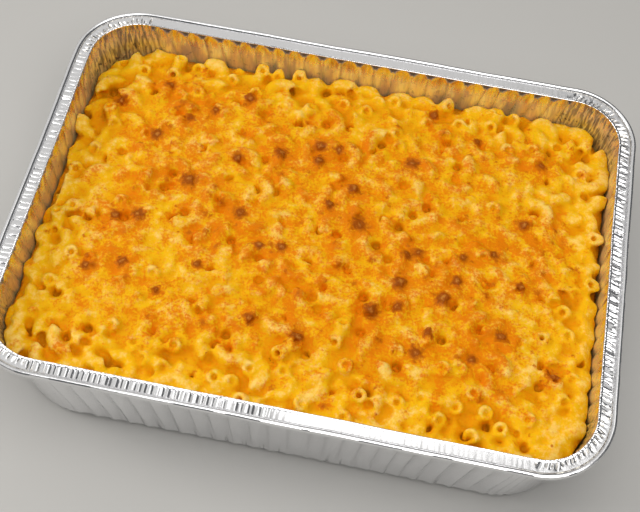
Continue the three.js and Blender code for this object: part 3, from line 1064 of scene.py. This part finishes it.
def brown_the_top(food):
    """Raises the blisters, roughens the crust and notes each point's depth, toast, char and painted
    highlight.
    """
    spots = toasted_spots(food)
    points = points_of(food)
    normals = points_of(food, "normal")
    # How deep each point lies below the tops round it; the cheese is painted darker there, partly as
    # shade.
    hollow = np.clip((local_tops(points) - points[:, 2]) / (6 * MM), 0, 1)
    x, y = points[:, 0], points[:, 1]
    room, _, _ = room_inside(x, y)
    middle = smooth_share(5 * MM, 45 * MM, room)
    toast = 0.42 * middle + 0.3 * soft_noise(x, y, 30 * MM, 11) + 0.5 * soft_noise(x, y, 7 * MM, 5)
    toast = np.clip(toast, 0, 1)
    for across, down, width in TOASTED_SEEN_AT:
        place_x, place_y = seen_at_height(across, down, EDGE_LEVEL + DOME + ELBOW_STAND - 2 * MM)
        away = np.hypot(x - place_x, y - place_y) / (0.5 * width * MM)
        toast = toast + 0.5 * np.exp(-(away**2)) * (1 - toast)
    char_and_highlight = np.zeros(len(points))
    lift = np.zeros(len(points))
    for place, radius, darkness in spots:
        away = np.linalg.norm(points - np.array(place), axis=1)
        near = away < 6 * radius
        wobble = soft_noise(x[near], y[near], 2.4 * MM, 29)
        wobble += 0.7 * soft_noise(x[near], y[near], 1.1 * MM, 37)
        ragged = away[near] * (1 + 0.5 * wobble)
        # Char above 1, at a dark blister's middle, marks where its painted highlight goes.
        burn_and_highlight = darkness * np.clip(1.75 - 0.95 * ragged / radius, 0, 1.6)
        char_and_highlight[near] = np.maximum(char_and_highlight[near], burn_and_highlight)
        bulge = BLISTER_RISE * radius * np.sqrt(np.clip(1 - (ragged / radius) ** 2, 0, 1))
        lift[near] = np.maximum(lift[near], bulge)
        halo = darkness * np.exp(-((ragged / (BLISTER_HALO * radius)) ** 2))
        toast[near] += 0.6 * halo * (1 - toast[near])
    up = np.clip(normals[:, 2], 0, 1)
    rough = soft_noise(x, y, 2.6 * MM, 7) * (0.2 + 0.3 * middle) * MM
    points += normals * ((lift + rough) * up)[:, None]
    move_points(food, points)
    write_marks(food, {"hollow": hollow, "toast": toast, "char_and_highlight": char_and_highlight})


elbow_poses = settle_elbows()
elbows = lay_elbows()
sauce = pour_sauce()
food = melt_together(elbows, sauce)
apply_to(food, "fewer faces", "DECIMATE", ratio=MOST_TRIANGLES / (2 * len(food.data.polygons)))
brown_the_top(food)
fill_tray(food)
bpy.ops.object.shade_smooth()


def baked_cheese():
    """Golden cheese: paler tops, partly painted glints; hollows deeper, partly painted shade; toasted
    orange and brown.
    """
    material, shader, shade = new_finish("baked_cheese")
    place = shade.node("ShaderNodeTexCoord", out=3)
    hollow = shade.attribute("hollow")
    toast = shade.attribute("toast")
    char_and_highlight = shade.attribute("char_and_highlight")
    mottle = shade.grain(place, 6 * MM, detail=4, roughness=0.6)
    grain = shade.grain(place, 1.5 * MM, detail=4, roughness=0.65)
    curds = shade.grain(place, 2.6 * MM, detail=5, roughness=0.65)
    # Hollows get a deeper orange and, deepest down, brown: partly the sauce's own colour, partly
    # painted shade.
    depth = hollow + (mottle - 0.5) * 0.35
    colour = depth.between(0.12, 0.6).mixed((0.88, 0.48, 0.006, 1), (0.74, 0.28, 0.001, 1))
    colour = depth.between(0.55, 0.95).mixed(colour, (0.43, 0.145, 0.001, 1))
    patches = shade.grain(place, 15 * MM, detail=2)
    # Pale cream curds, kept out of the hollows: partly their own colour, partly painted glints.
    pale_curds_and_glints = curds + (grain - 0.5) * 0.5 + (patches - 0.5) * 0.5 - depth * 0.7
    pale_curds_and_glints = pale_curds_and_glints.between(0.33, 0.69) * (1 - toast.between(0.3, 0.9) * 0.6)
    colour = pale_curds_and_glints.mixed(colour, (0.96, 0.635, 0.155, 1))
    toasted = (toast + (mottle - 0.5) * 1.3 + (grain - 0.5) * 1.6).between(0.15, 0.85)
    colour = toasted.mixed(colour, (0.77, 0.215, 0.002, 1))
    browned = (char_and_highlight + (grain - 0.5) * 0.9 + toast * 0.15).between(0.3, 0.9)
    colour = browned.mixed(colour, (0.55, 0.14, 0.002, 1))
    charred = (char_and_highlight + (grain - 0.5) * 0.9 + (curds - 0.5) * 0.8).between(0.72, 1.15)
    colour = charred.mixed(colour, (0.33, 0.068, 0.002, 1))
    # A lighter, pinkish brown in the middle of the darkest blisters is a painted highlight on their
    # glossy tops.
    painted_blister_highlight = (char_and_highlight + (grain - 0.5) * 1.5).between(1.2, 1.7)
    colour = painted_blister_highlight.mixed(colour, (0.54, 0.2, 0.03, 1))
    relief = (curds * 0.5 + grain * 0.8) * (0.55 + toast * 0.6)
    normal = shade.node(
        "ShaderNodeBump", None, {"Strength": 0.8, "Distance": 0.9 * MM, "Height": relief}
    )
    oily = pale_curds_and_glints * 0.4 + browned * 0.06
    worn = 0.42 + (mottle - 0.5) * 0.2
    look = {
        "Base Color": colour,
        "Roughness": worn,
        "Coat Weight": oily,
        "Normal": normal,
        "Specular IOR Level": 0.2,
        "Specular Tint": (1, 0.7, 0.12, 1),
        "Coat Roughness": 0.22,
        "Coat IOR": 1.35,
        "Subsurface Weight": 0.4,
        "Subsurface Radius": (1, 0.45, 0.1),
        "Subsurface Scale": 2.5 * MM,
    }
    set_sockets(shader, look)
    return material


food.data.materials.append(baked_cheese())
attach(food, "root")
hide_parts("macaroni_and_cheese")

# ------------ the table and the lights
# A plain pale table top, with a large soft light behind the tray on its left, one over its front and
# two small ones. Colours are shown as they are, so that bright cheese stays yellow.
table = added(bpy.ops.mesh.primitive_plane_add, size=8, location=(0, 0, 0))
table.name = "table_top"
table_paint, table_shader, _ = new_finish("pale_table")
set_sockets(table_shader, {"Base Color": (0.5, 0.49, 0.47, 1), "Roughness": 0.6})
table.data.materials.append(table_paint)


def soft_light(name, place, size, power, colour):
    """A square area light that faces the tray."""
    light = added(bpy.ops.object.light_add, type="AREA", location=place)
    light.name = name
    light.data.size = size
    light.data.energy = power
    light.data.color = colour
    light.rotation_euler = Vector(place).to_track_quat("Z", "Y").to_euler()


soft_light("window_light", (-0.9, 0.88, 1.3), 3, 15.6, (1, 0.98, 0.95))
soft_light("side_light", (-1.45, -0.1, 1), 0.8, 9.5, (1, 0.98, 0.95))
soft_light("overhead_light", (0.3, -0.4, 1.5), 1.4, 18, (1, 0.99, 0.97))
soft_light("ceiling_light", (-0.08, 0.46, 1.45), 0.55, 0.75, (1, 0.99, 0.97))
world = bpy.data.worlds.new("room")
world.use_nodes = True
set_sockets(world.node_tree.nodes["Background"], {"Color": (0.9, 0.92, 0.95, 1), "Strength": 0.1})
bpy.context.scene.world = world
bpy.context.scene.view_settings.view_transform = "Standard"
